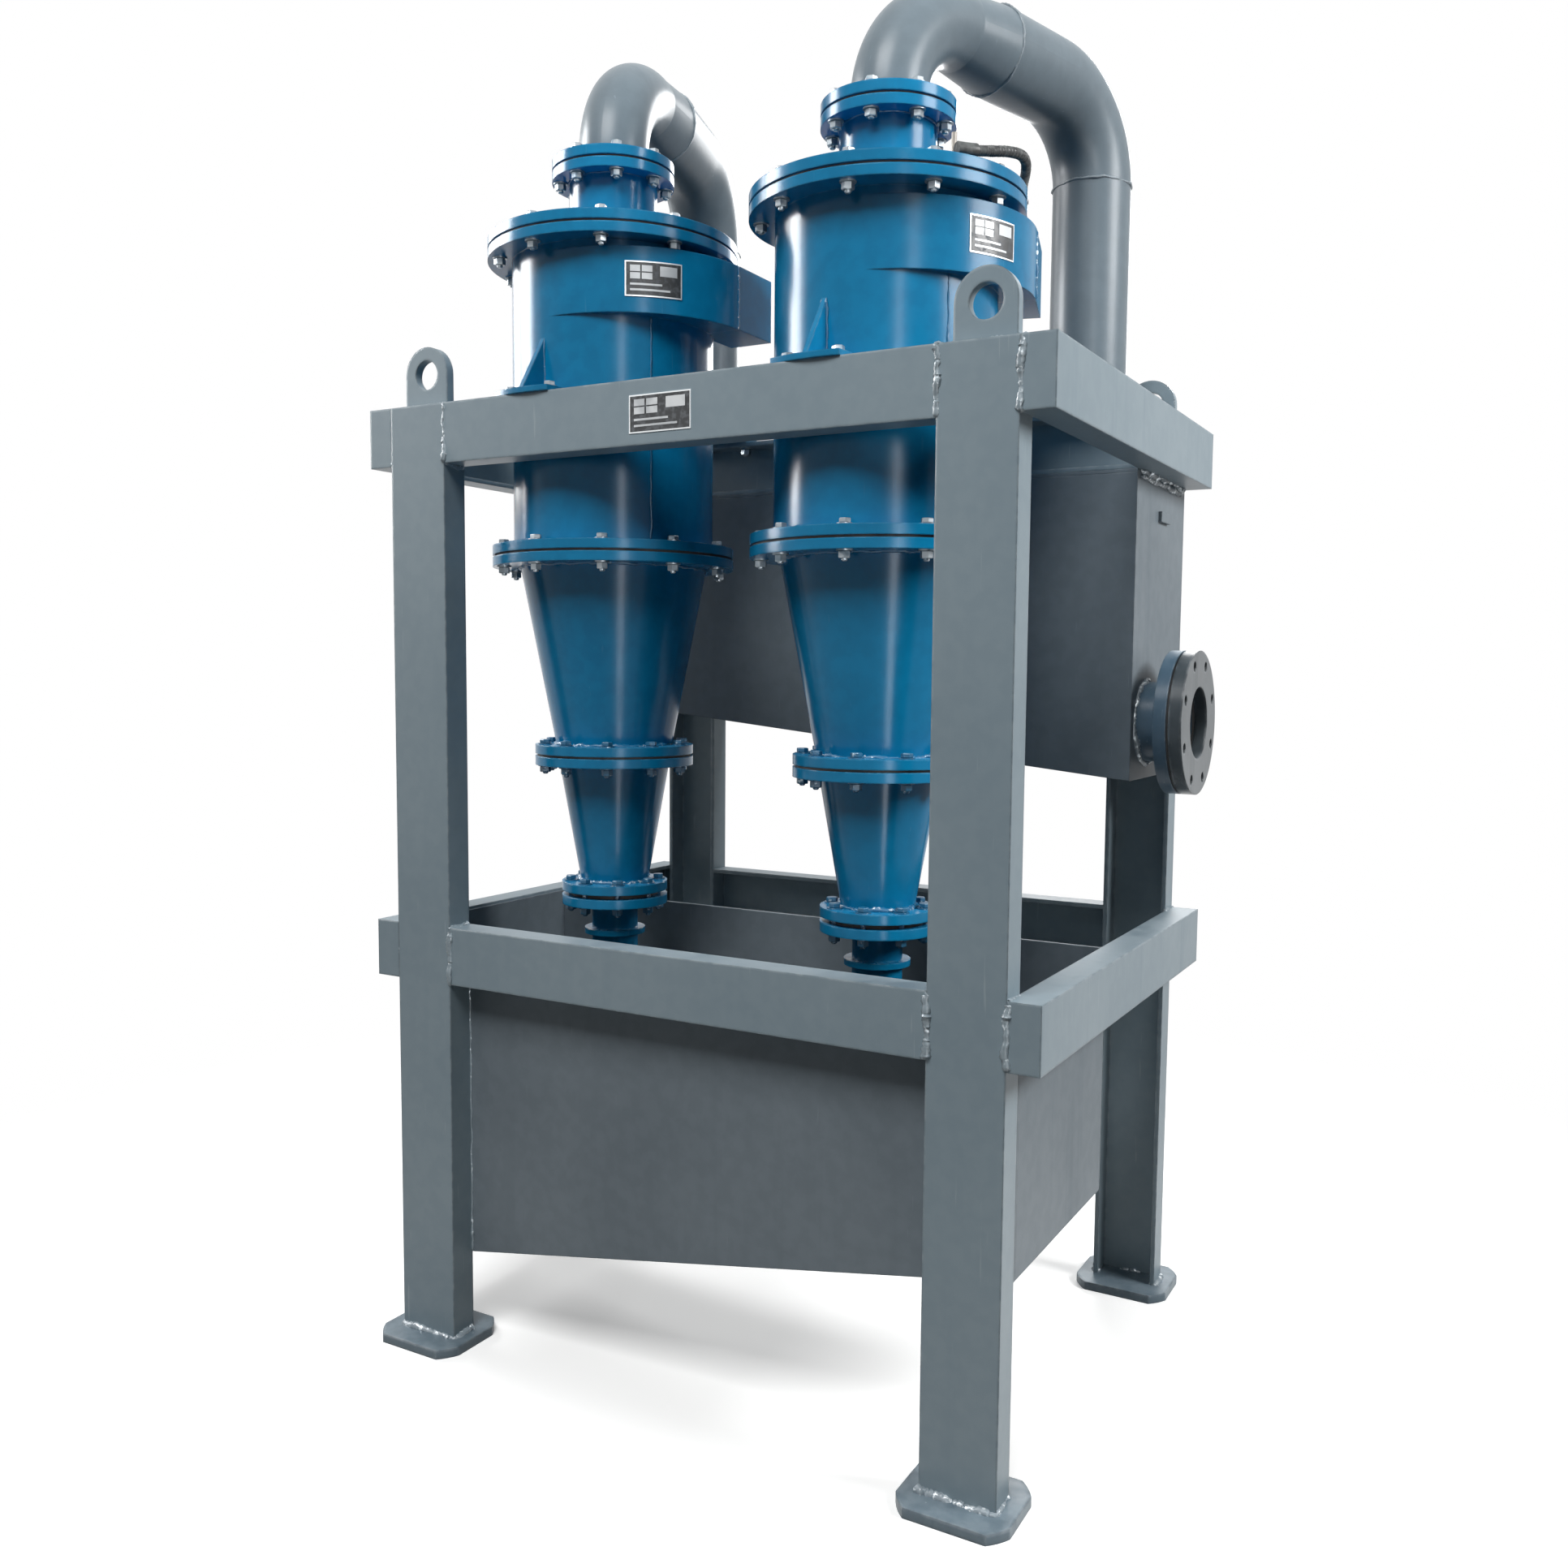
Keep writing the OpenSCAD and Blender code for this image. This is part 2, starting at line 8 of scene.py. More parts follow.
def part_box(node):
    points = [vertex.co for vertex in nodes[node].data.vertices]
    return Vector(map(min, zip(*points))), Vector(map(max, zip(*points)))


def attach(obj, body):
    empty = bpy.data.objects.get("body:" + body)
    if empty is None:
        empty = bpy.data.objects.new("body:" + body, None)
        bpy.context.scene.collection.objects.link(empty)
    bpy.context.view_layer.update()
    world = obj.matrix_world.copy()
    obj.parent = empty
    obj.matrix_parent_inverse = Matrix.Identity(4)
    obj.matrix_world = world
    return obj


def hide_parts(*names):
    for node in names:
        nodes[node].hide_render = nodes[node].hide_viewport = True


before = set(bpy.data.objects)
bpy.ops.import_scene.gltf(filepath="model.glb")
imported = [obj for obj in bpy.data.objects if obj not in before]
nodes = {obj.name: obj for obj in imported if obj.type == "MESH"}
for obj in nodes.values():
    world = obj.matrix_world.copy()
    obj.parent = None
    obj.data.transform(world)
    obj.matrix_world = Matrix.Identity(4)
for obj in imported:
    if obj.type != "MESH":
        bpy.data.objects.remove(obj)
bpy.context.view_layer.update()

# Viewpoint. A camera held at chest height to the right of the front, with a short lens.
# Place, direction and lens come from the straight edges of the stand in the picture.
eye = Vector((1.1971, -2.2150, 1.2031))
eye_turn = 0.5167
eye_dip = 0.0815
eye_lean = 0.0079
focal_pixels = 1695.6
picture_pixels = 1932
film_mm = 36.0
ahead_flat = Vector((-math.sin(eye_turn), math.cos(eye_turn), 0.0))
ahead = ahead_flat*math.cos(eye_dip) - Vector((0.0, 0.0, math.sin(eye_dip)))
level_right = Vector((math.cos(eye_turn), math.sin(eye_turn), 0.0))
level_up = level_right.cross(ahead)
eye_right = level_right*math.cos(eye_lean) + level_up*math.sin(eye_lean)
eye_up = level_up*math.cos(eye_lean) - level_right*math.sin(eye_lean)
eye_axes = Matrix((eye_right, eye_up, -ahead)).transposed()
lens = bpy.data.cameras.new("picture_lens")
lens.sensor_width = film_mm
lens.lens = film_mm*focal_pixels/picture_pixels
viewer = bpy.data.objects.new("picture_camera", lens)
viewer.matrix_world = Matrix.Translation(eye) @ eye_axes.to_4x4()
bpy.context.scene.collection.objects.link(viewer)
bpy.context.scene.camera = viewer

# Stand. Rolled steel channel, welded into two rings on four legs with cut foot plates
# and lifting lugs, brushed and sprayed with one coat of satin blue-grey enamel.


class Wire:
    """A value, colour or vector on its way through a material; arithmetic on it adds Math nodes."""

    def __init__(self, tree, socket=None):
        self.tree = tree
        self.socket = socket

    def node(self, kind, settings=None, sockets=None, out=0):
        """Adds a node, its settings first and then its sockets, and gives one of its outputs."""
        made = self.tree.nodes.new("ShaderNode" + kind)
        for name, value in (settings or {}).items():
            setattr(made, name, value)
        for name, value in (sockets or {}).items():
            if isinstance(value, Wire):
                self.tree.links.new(value.socket, made.inputs[name])
            else:
                made.inputs[name].default_value = value
        return Wire(self.tree, made.outputs[out] if made.outputs else None)

    def math(self, operation, first, second):
        return self.node("Math", {"operation": operation}, {0: first, 1: second})

    def __add__(self, other):
        return self.math("ADD", self, other)

    __radd__ = __add__

    def __sub__(self, other):
        return self.math("SUBTRACT", self, other)

    def __rsub__(self, other):
        return self.math("SUBTRACT", other, self)

    def __mul__(self, other):
        return self.math("MULTIPLY", self, other)

    __rmul__ = __mul__

    def between(self, low, high):
        """Smooth step from 0 at low to 1 at high."""
        limits = {"Value": self, "From Min": low, "From Max": high}
        return self.node("MapRange", {"interpolation_type": "SMOOTHSTEP"}, limits)

    def blend(self, first, second):
        """This wire is the share of the second colour."""
        return self.node("Mix", {"data_type": "RGBA"}, {0: self, 6: first, 7: second}, 2)

    def stretched(self, scale):
        return self.node("VectorMath", {"operation": "MULTIPLY"}, {0: self, 1: scale})

    def noise(self, scale, detail=3.0):
        return self.node("TexNoise", {}, {"Vector": self, "Scale": scale, "Detail": detail})


def linear(red, green, blue):
    """A colour as read from a screen, 0 to 255, as a shader colour."""
    shares = [c/255 for c in (red, green, blue)]
    return tuple(s/12.92 if s <= 0.04045 else ((s + 0.055)/1.055)**2.4 for s in shares) + (1.0,)


def bare_finish(name):
    """A new material with an empty node tree; gives the material and a wire to start from."""
    material = bpy.data.materials.new(name)
    material.use_nodes = True
    material.node_tree.nodes.clear()
    return material, Wire(material.node_tree)


def show(start, shader):
    """Sends a shader to the surface."""
    start.node("OutputMaterial", {}, {"Surface": shader})


def enamel(start, fresh, shade, pale, gloss, shine, grime, edge_width):
    """Sprayed paint on steel: cloudy tone, faint runs, dust on top, edges paler from rubbing and painted
    highlight, orange peel.
    """
    place = start.node("TexCoord", out="Object")
    clouds = place.noise(2.6, 4.0).between(0.32, 0.68)
    mottle = place.noise(38.0)
    patches = mottle.between(0.36, 0.64)
    runs = place.stretched((26.0, 26.0, 1.3)).noise(1.0, 4.0).between(0.54, 0.74)
    scuffs = place.stretched((150.0, 150.0, 9.0)).noise(1.0, 2.0).between(0.70, 0.78)
    rounded = start.node("Bevel", {"samples": 2}, {"Radius": edge_width})
    facing = start.node("NewGeometry", out="Normal")
    sharp = start.node("VectorMath", {"operation": "DOT_PRODUCT"}, {0: rounded, 1: facing}, "Value")
    # paler edges: partly rubbed paint, partly a painted highlight along every edge
    rubbed_and_highlit_edges = (1.0 - sharp).between(0.02, 0.16)*patches
    upward = start.node("SeparateXYZ", {}, {0: facing}, "Z").between(0.75, 0.98)
    dust = upward*mottle.between(0.25, 0.75)
    tone = (clouds*0.7 + patches*0.3).blend(shade, fresh)
    tone = (runs*grime).blend(tone, shade)
    tone = (dust*0.12 + scuffs*grime*0.5).blend(tone, pale)
    tone = (rubbed_and_highlit_edges*0.75).blend(tone, pale)
    peel = place.noise(230.0, 2.0)*0.6 + mottle*0.5 + runs*0.25
    relief = {"Strength": gloss*0.16, "Distance": 0.002, "Height": peel, "Normal": rounded}
    return start.node("BsdfPrincipled", {}, {
        "Base Color": tone,
        "Roughness": gloss + (1.0 - clouds)*0.05 + runs*0.06 + dust*0.12 + rubbed_and_highlit_edges*0.10,
        "Specular IOR Level": shine,
        "Normal": start.node("Bump", {}, relief),
    })


def painted(name, **paint):
    """A material of one enamel."""
    material, start = bare_finish(name)
    show(start, enamel(start, **paint))
    return material


def dress(names, material):
    """Gives CAD nodes their finish."""
    for name in names:
        slots = nodes[name].data.materials
        slots.clear()
        slots.append(material)


stand_enamel = dict(
    fresh=linear(133, 148, 156), shade=linear(122, 138, 147), pale=linear(196, 205, 210),
    gloss=0.34, shine=0.26, grime=0.30, edge_width=0.005,
)
stand_paint = painted("stand_paint", **stand_enamel)
stand_nodes = [
    "front_legs", "back_legs", "lifting_lugs", "upper_front_beam", "upper_cross_beam", "upper_back_beam",
    "upper_side_beams", "lower_front_beam", "lower_back_beam", "lower_side_beams",
]
dress(stand_nodes, stand_paint)
foot_enamel = dict(
    fresh=linear(112, 128, 138), shade=linear(90, 107, 118), pale=linear(190, 200, 206),
    gloss=0.30, shine=0.30, grime=0.95, edge_width=0.008,
)
foot_paint = painted("foot_paint", **foot_enamel)
dress(["foot_plates"], foot_paint)

# Stand welds. Hand-laid electric-arc fillets where beams meet legs and legs meet feet,
# left rippled, wire-brushed and painted over, so that bright metal shows on the crests.
rng = np.random.default_rng(7)
bead_angle = 60.0


def tube_faces(rings, sides, closed=False):
    """Quads between rings of points; closed joins the last ring to the first, else both ends are capped."""
    faces = []
    for i in range(rings if closed else rings - 1):
        low = i*sides
        high = ((i + 1) % rings)*sides
        for j in range(sides):
            k = (j + 1) % sides
            faces.append((low + j, low + k, high + k, high + j))
    if not closed:
        last = (rings - 1)*sides
        faces.append(tuple(reversed(range(sides))))
        faces.append(tuple(range(last, last + sides)))
    return faces


def tube(route, radii, forward, sideways, sides, closed=False):
    """A round tube along a route, with a radius, a forward and a sideways direction for each step."""
    sideways = sideways/np.linalg.norm(sideways, axis=1)[:, None]
    rise = np.cross(forward, sideways)
    turns = np.linspace(0.0, 2*math.pi, sides, endpoint=False)
    ring = np.cos(turns)[None, :, None]*sideways[:, None] + np.sin(turns)[None, :, None]*rise[:, None]
    points = route[:, None] + np.array(radii)[:, None, None]*ring
    return points.reshape(-1, 3), tube_faces(len(route), sides, closed)


def bead(path, size, closed=False):
    """A rippled weld run along a path of points: wide and narrow rings by turns, wandering a little."""
    ripple = 0.0035
    sides = 7
    narrow = 0.78
    wander_share = 0.16
    drift_share = 0.20
    end_share = 0.25
    off_axis = np.array([0.31, 0.47, 0.83])
    path = np.array(path, float)
    ends = np.vstack([path, path[:1]]) if closed else path
    lengths = np.linalg.norm(np.diff(ends, axis=0), axis=1)
    along = np.concatenate([[0.0], np.cumsum(lengths)])
    count = max(4, int(along[-1]/ripple))
    stops = np.linspace(0.0, along[-1], count, endpoint=not closed)
    centres = np.stack([np.interp(stops, along, ends[:, i]) for i in range(3)], 1)
    forward = np.roll(centres, -1, 0) - np.roll(centres, 1, 0)
    if not closed:
        forward[0] = centres[1] - centres[0]
        forward[-1] = centres[-1] - centres[-2]
    forward /= np.linalg.norm(forward, axis=1)[:, None]
    swell = np.where(np.arange(count) % 2 == 0, 1.0, narrow)
    wander = 1.0 + wander_share*np.convolve(rng.normal(size=count + 8), np.ones(9)/3.0, "valid")
    radius = size*swell*np.clip(wander, 0.65, 1.5)
    jitter = rng.normal(size=(3, count + 4))
    drift = np.stack([np.convolve(line, np.ones(5)/2.2, "valid") for line in jitter], 1)
    centres = centres + drift_share*size*drift
    if not closed:
        radius[[0, -1]] = size*end_share
    return tube(centres, radius, forward, np.cross(forward, off_axis), sides, closed)


def piece(name, parts, material, soft_angle=40.0):
    """One mesh piece from many part arrays, riding on the stand's body."""
    points = []
    faces = []
    for part_points, part_faces in parts:
        offset = sum(len(p) for p in points)
        points.append(np.asarray(part_points, float))
        faces += [tuple(int(i) + offset for i in face) for face in part_faces]
    mesh = bpy.data.meshes.new(name)
    mesh.from_pydata(np.vstack(points).tolist(), [], faces)
    mesh.validate()
    mesh.shade_smooth()
    mesh.set_sharp_from_angle(angle=math.radians(soft_angle))
    mesh.materials.append(material)
    made = bpy.data.objects.new(name, mesh)
    bpy.context.scene.collection.objects.link(made)
    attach(made, "root")
    return made


def weld_finish(name, paint, metal, share):
    """Painted weld with bright crests and dark slag in the hollows."""
    slag_grey = linear(60, 66, 70)
    material, start = bare_finish(name)
    place = start.node("TexCoord", out="Object")
    crest = place.noise(120.0, 4.0)
    bright = crest.between(0.62 - share, 0.72 - share)
    slag = place.noise(160.0).between(0.62, 0.74)
    tone = bright.blend(paint, metal)
    tone = (slag*0.5).blend(tone, slag_grey)
    relief = {"Strength": 0.5, "Distance": 0.002, "Height": crest + place.noise(420.0)*0.4}
    shader = start.node("BsdfPrincipled", {}, {
        "Base Color": tone,
        "Roughness": 0.34 + slag*0.25,
        "Metallic": bright*0.35,
        "Normal": start.node("Bump", {}, relief),
    })
    show(start, shader)
    return material


stand_weld = weld_finish("stand_weld", linear(132, 146, 154), linear(190, 199, 204), share=0.04)
foot_weld = weld_finish("foot_weld", linear(140, 152, 160), linear(218, 225, 229), share=0.10)
legs_low, legs_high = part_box("front_legs")
upper_low, upper_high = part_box("upper_front_beam")
lower_low, lower_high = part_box("lower_front_beam")
stand_front = legs_low.y
stand_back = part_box("back_legs")[1].y
leg_face = 0.120
channel_depth = 0.050
joint_bead = 0.0066
under_bead = joint_bead*0.7
left_bead = joint_bead*0.5
bead_sink = 0.0030
stand_runs = []
for ring_low, ring_high in ((upper_low.z, upper_high.z), (lower_low.z, lower_high.z)):
    # front beam ends on the legs' inner edges: web, then the top and bottom flanges
    top = ring_high - bead_sink
    face = stand_front + bead_sink
    for x in (upper_low.x, upper_high.x):
        web_run = [(x, face, ring_low), (x, face, top)]
        stand_runs.append(bead(web_run + [(x, stand_front + channel_depth, top)], joint_bead))
        stand_runs.append(bead([web_run[0], (x, stand_front + channel_depth, ring_low)], under_bead))
    # side beams on the legs' outer sides
    for x, size in ((legs_low.x, left_bead), (legs_high.x, joint_bead)):
        for y, inner in ((stand_front, channel_depth), (stand_back, -channel_depth)):
            face = y + math.copysign(bead_sink, inner)
            corner_run = [(x, face, ring_low), (x, face, top), (x, y + inner, top)]
            stand_runs.append(bead(corner_run, size))
lug_half = 0.047
lug_set = 0.024
lug_t = 0.016
for x in (legs_low.x + leg_face/2, legs_high.x - leg_face/2):
    for y in (stand_front + lug_set, stand_back - lug_set - lug_t):
        lug_back = y + lug_t
        lug_run = [(x - lug_half, y), (x + lug_half, y), (x + lug_half, lug_back), (x - lug_half, lug_back)]
        stand_runs.append(bead([(a, b, upper_high.z) for a, b in lug_run], joint_bead, closed=True))
piece("stand_weld_beads", stand_runs, stand_weld, bead_angle)
foot_bead = 0.0082
foot_sink = 0.001
foot_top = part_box("foot_plates")[1].z
foot_runs = []
for x0, x1 in ((legs_low.x, legs_low.x + leg_face), (legs_high.x - leg_face, legs_high.x)):
    for y, inner in ((stand_front, channel_depth), (stand_back, -channel_depth)):
        foot_run = [(x0, y + inner), (x0, y), (x1, y), (x1, y + inner)]
        foot_runs.append(bead([(a, b, foot_top - foot_sink) for a, b in foot_run], foot_bead))
piece("foot_weld_beads", foot_runs, foot_weld, bead_angle)

# Underflow tank. Six-millimetre plate cut to a sloping floor, welded inside the lower ring
# and sprayed grey; grit and splashes have dulled its gloss, and its colour is set darker than the stand's
# as painted shade.
# the plate colour is darker than the stand's only as painted shade for the shadowed tank and box
shade_darkened_plate_enamel = dict(
    fresh=linear(120, 130, 137), shade=linear(106, 116, 123), pale=linear(168, 177, 182),
    gloss=0.40, shine=0.12, grime=0.35, edge_width=0.003,
)
plate_paint = painted("plate_paint", **shade_darkened_plate_enamel)
dress(["tank_front", "tank_back", "tank_ends", "tank_floor"], plate_paint)
tank_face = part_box("tank_front")[0].y
tank_fall = 0.137
tank_rise = 0.337
tank_cut = 0.021
tank_bead = 0.0028
leg_inner = (legs_low.x + leg_face, legs_high.x - leg_face)
tank_runs = []
for x, z in ((leg_inner[0], tank_fall + tank_cut), (leg_inner[1], tank_rise - tank_cut)):
    tank_runs.append(bead([(x, tank_face, z), (x, tank_face, lower_low.z)], tank_bead))
piece("tank_weld_beads", tank_runs, stand_weld, bead_angle)

# Overflow box. Six-millimetre plate welded into a closed box with a floor that falls to its outlet,
# carried by sloping pads on the back legs; the pipe nozzle is welded in and painted blue-grey, the
# loose ring before its flange nearly black, and both are drilled for eight bolts.
box_nodes = [
    "box_front", "box_back", "box_left", "box_right", "box_top_plate", "box_floor",
    "box_pads",
]
# the box walls take the same plate paint, darker than the stand's as painted shade
dress(box_nodes, plate_paint)
nozzle_enamel = dict(
    fresh=linear(88, 110, 127), shade=linear(68, 91, 108), pale=linear(176, 188, 196),
    gloss=0.28, shine=0.30, grime=0.60, edge_width=0.003,
)
dress(["outlet_nozzle"], painted("nozzle_paint", **nozzle_enamel))
ring_enamel = dict(
    fresh=linear(84, 92, 97), shade=linear(62, 70, 75), pale=linear(184, 191, 195),
    gloss=0.26, shine=0.34, grime=0.75, edge_width=0.006,
)
dress(["outlet_ring"], painted("outlet_ring_paint", **ring_enamel))
box_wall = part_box("box_right")[1].x
box_front_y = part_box("box_front")[0].y
box_back_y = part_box("box_back")[1].y
nozzle_low, nozzle_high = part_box("outlet_nozzle")
nozzle_y = (nozzle_low.y + nozzle_high.y)/2
nozzle_z = (nozzle_low.z + nozzle_high.z)/2
nozzle_pipe = 0.070
nozzle_flange_t = 0.022
wall_bead = 0.0066
flange_bead = 0.0048


def ring_points(centre, radius, across, upward, count=48):
    """Points round a circle that lies in the plane of two directions."""
    turns = np.linspace(0.0, 2*math.pi, count, endpoint=False)
    round_points = np.outer(np.cos(turns), np.array(across)) + np.outer(np.sin(turns), np.array(upward))
    return np.array(centre) + radius*round_points


nozzle_ring = ring_points((box_wall, nozzle_y, nozzle_z), nozzle_pipe, (0, 1, 0), (0, 0, 1))
flange_back = nozzle_high.x - nozzle_flange_t
flange_ring = ring_points((flange_back, nozzle_y, nozzle_z), nozzle_pipe, (0, 1, 0), (0, 0, 1))
nozzle_runs = [bead(nozzle_ring, wall_bead, closed=True), bead(flange_ring, flange_bead, closed=True)]
piece("nozzle_weld_beads", nozzle_runs, foot_weld, bead_angle)
hang_inset = 0.02
hang_runs = []
# two runs, one under the other: lift over the ring's underside, and size
for lift, size in ((0.0, 0.0085), (-0.010, 0.0062)):
    for x in (box_wall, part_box("box_left")[0].x):
        run_z = upper_low.z + lift
        run_ends = (box_front_y + hang_inset, box_back_y - hang_inset)
        hang_runs.append(bead([(x, y, run_z) for y in run_ends], size))
piece("box_hanging_welds", hang_runs, foot_weld, bead_angle)

# Box clip. A stub of steel flat bar, sawn off short and welded to the box's right wall under the
# ring, then painted over with the box.
clip_y = 0.297
clip_z = 1.483
clip_half = (0.030, 0.009)
clip_rise = 0.006
clip_sink = 0.002


def slab(low, high):
    """A plain block between two corners."""
    points = [(x, y, z) for x in (low[0], high[0]) for y in (low[1], high[1]) for z in (low[2], high[2])]
    faces = [(0, 1, 3, 2), (4, 6, 7, 5), (0, 4, 5, 1), (2, 3, 7, 6), (0, 2, 6, 4), (1, 5, 7, 3)]
    return np.array(points), faces


clip_low = (box_wall - clip_sink, clip_y - clip_half[0], clip_z - clip_half[1])
clip_high = (box_wall + clip_rise, clip_y + clip_half[0], clip_z + clip_half[1])
piece("box_clip", [slab(clip_low, clip_high)], plate_paint)

# Cyclones. Spun and rolled steel shells with welded flanges, sprayed with gloss blue enamel;
# the scroll head is rolled plate welded to a barrel, and the cones are bolted below it.
blue_enamel = dict(
    fresh=linear(14, 126, 172), shade=linear(6, 106, 148), pale=linear(92, 150, 180),
    gloss=0.18, shine=0.18, grime=0.30, edge_width=0.003,
)
cyclone_paint = painted("cyclone_paint", **blue_enamel)
cyclone_parts = ("lid", "head", "inlet", "upper_cone", "lower_cone", "spigot")
dress([f"{side}_{part}" for side in ("left", "right") for part in cyclone_parts], cyclone_paint)

# Gaskets. Black sheet rubber between the flanges, cut a little smaller than they are and squeezed
# by the bolts, so that each joint shows a dark line.
rubber, rubber_start = bare_finish("black_rubber")
rubber_place = rubber_start.node("TexCoord", out="Object")
rubber_bloom = rubber_place.noise(45.0, 4.0).between(0.35, 0.70)
rubber_relief = {"Strength": 0.15, "Distance": 0.001, "Height": rubber_place.noise(300.0)}
show(rubber_start, rubber_start.node("BsdfPrincipled", {}, {
    "Base Color": rubber_bloom.blend(linear(16, 17, 18), linear(32, 34, 36)),
    "Roughness": 0.62 + rubber_bloom*0.2,
    "Normal": rubber_start.node("Bump", {}, rubber_relief),
}))
dress(["flange_gaskets"], rubber)

# Flange bolts. Zinc-plated hexagon bolts with a washer under the head and the nut, ten to a
# large joint and eight to a small one; paint mist from the flanges has dulled the zinc.
zinc, zinc_start = bare_finish("zinc_bolts")
zinc_place = zinc_start.node("TexCoord", out="Object")
zinc_spangle = zinc_place.noise(130.0, 3.0)
zinc_mist = zinc_place.noise(38.0).between(0.52, 0.66)
zinc_relief = {"Strength": 0.25, "Distance": 0.001, "Height": zinc_spangle}
show(zinc_start, zinc_start.node("BsdfPrincipled", {}, {
    "Base Color": (zinc_mist*0.55).blend(linear(150, 158, 163), linear(70, 116, 142)),
    "Roughness": 0.26 + zinc_spangle*0.22,
    "Metallic": 0.70 - zinc_mist*0.50,
    "Normal": zinc_start.node("Bump", {}, zinc_relief),
}))


def turned(profile, sides, axis_point, spin=0.0):
    """A solid turned round an upright axis from (radius, height) pairs; six sides make a hexagon."""
    turns = np.linspace(0.0, 2*math.pi, sides, endpoint=False) + spin
    points = []
    for radius, height in profile:
        ring = np.stack([radius*np.cos(turns), radius*np.sin(turns), np.full(sides, height)], 1)
        points.append(ring + np.array(axis_point))
    return np.vstack(points), tube_faces(len(profile), sides)


nut_r = 0.0096
nut_h = 0.0105
head_h = 0.0072
washer_r = 0.0125
washer_t = 0.0020
stud_r = 0.0048
stud_out = 0.0040
bolt_angle = 30.0


def hexagon(base, height, at, spin, up):
    """A chamfered hexagon standing on base, or hanging from it where up is -1."""
    chamfer = 0.0012
    flat_r = nut_r*0.90
    shape = [(flat_r, 0.0), (nut_r, chamfer), (nut_r, height - chamfer), (flat_r, height)]
    profile = [(r, base + up*h) for r, h in shape]
    return turned(profile if up > 0 else profile[::-1], 6, at, spin)


def flange_bolt(at, low, high):
    """One bolt through two flanges: head on top, nut and stud end below."""
    point_r = stud_r*0.7
    point_h = 0.0015
    head_sink = 0.001
    spin = rng.uniform(0.0, math.pi/3)
    nut_spin = rng.uniform(0.0, math.pi/3)
    washers = [
        turned([(washer_r, high), (washer_r, high + washer_t)], sides=18, axis_point=at),
        turned([(washer_r, low - washer_t), (washer_r, low)], sides=18, axis_point=at),
    ]
    tip = low - washer_t - nut_h - stud_out*rng.uniform(0.7, 1.2)
    stud = [(point_r, tip), (stud_r, tip + point_h), (stud_r, high + head_sink)]
    return washers + [
        hexagon(high + washer_t, head_h, at, spin, up=1),
        hexagon(low - washer_t, nut_h, at, nut_spin, up=-1),
        turned(stud, sides=10, axis_point=at),
    ]


# the two low joints were bolted up before spraying, so blue paint covers most of their zinc
sprayed_bolt = weld_finish("sprayed_bolts", linear(30, 96, 130), linear(168, 186, 196), share=0.02)
flange_t = 0.016
support_t = 0.009
beam_flange_t = 0.008
support_top = upper_high.z + support_t
beam_flange_under = upper_high.z - beam_flange_t
bracket_swing = Matrix.Rotation(math.radians(-5.5), 3, "Z")
support_bolt_across = 0.044
support_bolt_reach = 0.203
support_bolt_inset = 0.026
cross_beam_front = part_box("upper_cross_beam")[0].y
axes = {}
for side in ("left", "right"):
    lid_low, lid_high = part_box(f"{side}_lid")
    axes[side] = Vector(((lid_low.x + lid_high.x)/2, (lid_low.y + lid_high.y)/2, 0.0))
first_bolt = {"left": math.radians(-5.2), "right": math.radians(9.0)}
for side, axis in axes.items():
    lid_low, lid_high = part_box(f"{side}_lid")
    head_low, head_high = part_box(f"{side}_head")
    upper_cone_low, upper_cone_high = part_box(f"{side}_upper_cone")
    lower_cone_low, lower_cone_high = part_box(f"{side}_lower_cone")
    spigot_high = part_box(f"{side}_spigot")[1]
    elbow_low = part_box(f"{side}_neck_elbow")[0]
    bolts = []
    low_bolts = []
    # underside and top of each joint, radius of its bolt circle, number of bolts, and their group
    joints = [
        (lid_high.z - flange_t, elbow_low.z + flange_t, 0.0905, 8, bolts),
        (head_high.z - flange_t, lid_low.z + flange_t, 0.1960, 10, bolts),
        (upper_cone_high.z - flange_t, head_low.z + flange_t, 0.1930, 10, bolts),
        (lower_cone_high.z - flange_t, upper_cone_low.z + flange_t, 0.1240, 10, low_bolts),
        (spigot_high.z - flange_t, lower_cone_low.z + flange_t, 0.0780, 8, low_bolts),
    ]
    for low, high, circle, count, group in joints:
        for i in range(count):
            turn = first_bolt[side] + 2*math.pi*i/count
            at = (axis.x + circle*math.sin(turn), axis.y - circle*math.cos(turn), 0.0)
            group.extend(flange_bolt(at, low, high))
    # two bolts hold each support plate to the beam below it
    for across in (-support_bolt_across, support_bolt_across):
        front_at = axis + bracket_swing @ Vector((across, -support_bolt_reach, 0.0))
        bolts += flange_bolt(front_at, beam_flange_under, support_top)
        back_at = Vector((axis.x + across, cross_beam_front + support_bolt_inset, 0.0))
        bolts += flange_bolt(back_at, beam_flange_under, support_top)
    piece(f"{side}_flange_bolts", bolts, zinc, bolt_angle)
    piece(f"{side}_low_bolts", low_bolts, sprayed_bolt, bolt_angle)

